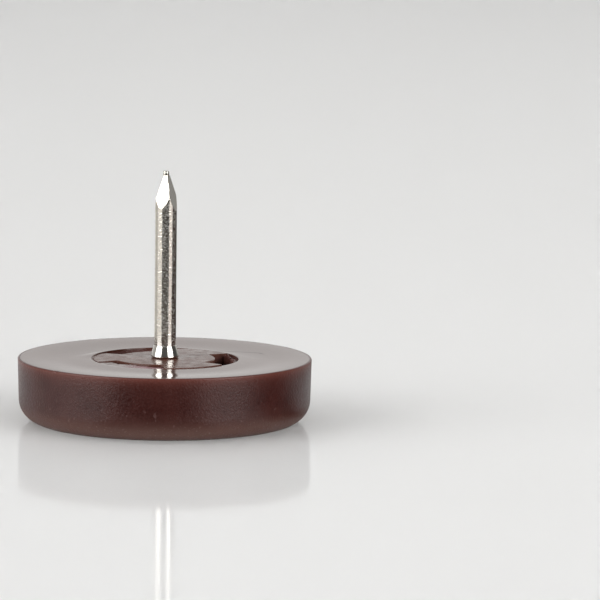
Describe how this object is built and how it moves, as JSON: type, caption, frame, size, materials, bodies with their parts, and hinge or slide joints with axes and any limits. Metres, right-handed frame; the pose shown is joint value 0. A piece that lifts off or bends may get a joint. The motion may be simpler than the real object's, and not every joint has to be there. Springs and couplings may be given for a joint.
{
  "type": "nail-on furniture glide",
  "caption": "Round plastic furniture glide with a steel nail moulded in, driven into the end of a chair or table leg so that it slides on the floor.",
  "frame": {"origin": "centre of the slide face, on the floor", "axes": "+Z along the nail, from the floor into the leg; +X to the right in the reference view, which looks along +Y"},
  "size_m": [0.024, 0.024, 0.0205],
  "materials": {
    "pad_plastic": "dark red-brown moulded plastic, satin wall, glossy seat face, fine spark-eroded grain on the slide face",
    "nail_steel": "bright nickel plating on steel wire, faintly drawn and pitted"
  },
  "bodies": {
    "root": {"glide_pad": "pad_plastic", "nail": "nail_steel"}
  },
  "joints": []
}
